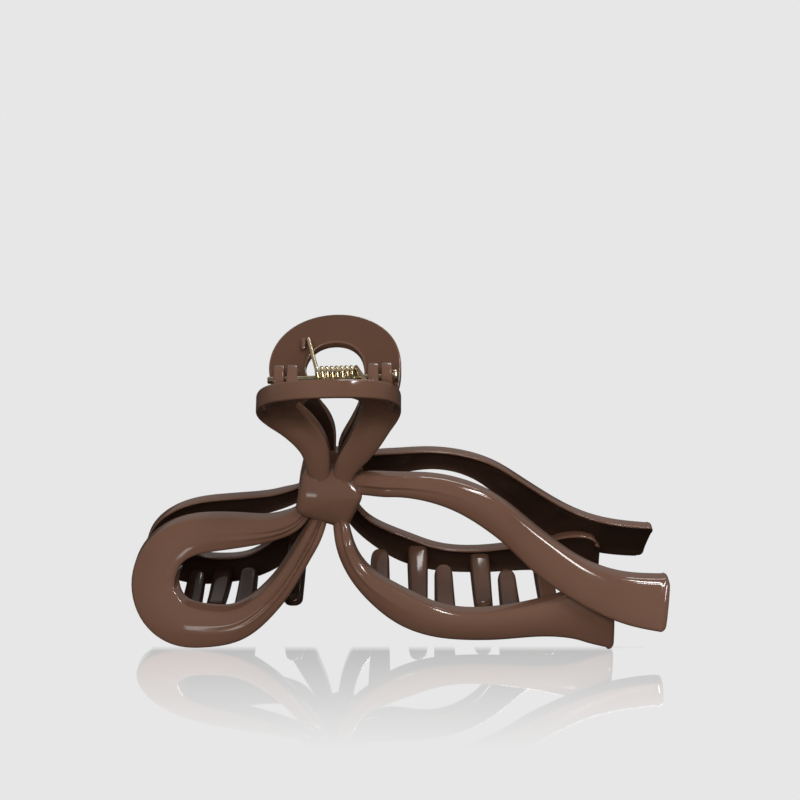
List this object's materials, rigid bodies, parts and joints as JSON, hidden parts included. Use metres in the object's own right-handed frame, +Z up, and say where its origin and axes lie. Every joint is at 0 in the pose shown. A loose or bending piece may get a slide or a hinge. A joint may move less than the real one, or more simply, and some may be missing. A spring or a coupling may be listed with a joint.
{
  "type": "bow hair claw clip",
  "caption": "Large glossy brown claw clip whose two moulded jaws are shaped as ribbon bows, with a side loop, two tails, round grip loops, interlacing teeth and a sprung metal hinge.",
  "frame": {"origin": "middle of the clip's footprint, on the surface it stands on", "axes": "+X along the clip from the side loop to the tails, +Y from the front jaw to the back jaw, +Z up"},
  "size_m": [0.1215, 0.0491, 0.066],
  "materials": {
    "brown_plastic": "glossy",
    "gold_metal": "polished"
  },
  "bodies": {
    "front": {"front_jaw": "brown_plastic", "hinge_pin": "gold_metal", "torsion_spring": "gold_metal"},
    "back": {"back_jaw": "brown_plastic"}
  },
  "joints": [
    {"name": "jaw_hinge", "type": "hinge", "parent": "front", "child": "back", "pos_m": [-0.0145, 0, 0.05793], "axis": [0.9996, 0, 0.0279], "range_deg": [0, 70], "stiffness_Nm_per_rad": 0.12, "springref_deg": -34.38, "deforming": ["torsion_spring"]}
  ]
}
